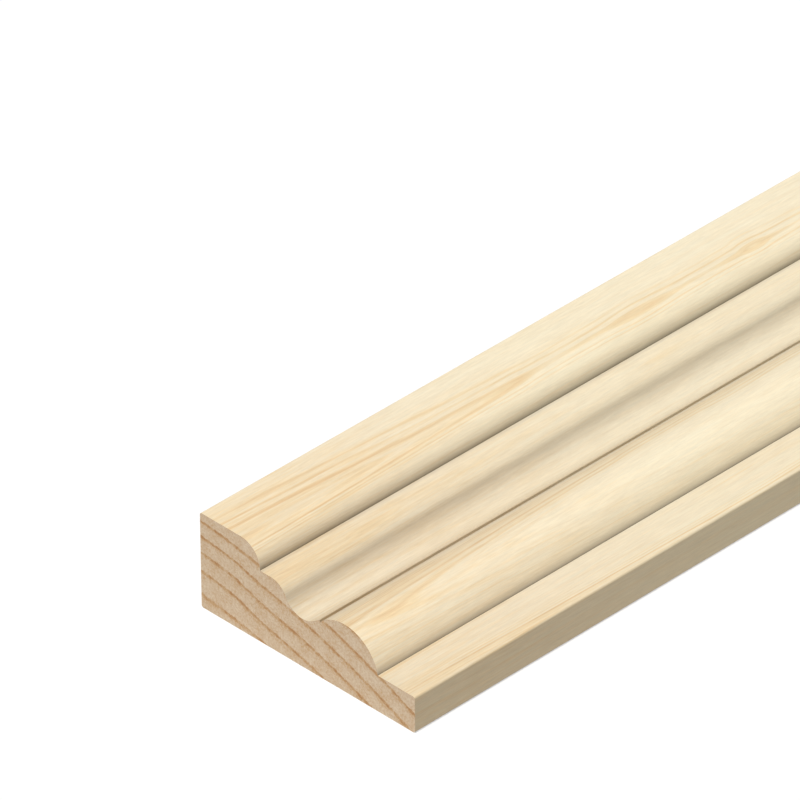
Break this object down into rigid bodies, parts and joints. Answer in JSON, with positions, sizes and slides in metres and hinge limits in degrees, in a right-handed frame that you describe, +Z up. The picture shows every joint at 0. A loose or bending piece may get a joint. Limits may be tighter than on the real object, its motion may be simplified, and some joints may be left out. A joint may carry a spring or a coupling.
{
  "type": "barrel moulding",
  "caption": "Length of planed softwood barrel moulding: flat land, quarter round, ovolo, cove, raised barrel and thin flat fillet on a flat back.",
  "frame": {"origin": "on the flat back, under the middle of the width and of the length", "axes": "+X across the width towards the thin edge, +Y along the length, +Z up out of the back through the moulded face"},
  "size_m": [0.034, 2.4, 0.013],
  "materials": {
    "pine": "planed, bare, unfinished"
  },
  "bodies": {
    "root": {"moulding": "pine"}
  },
  "joints": []
}
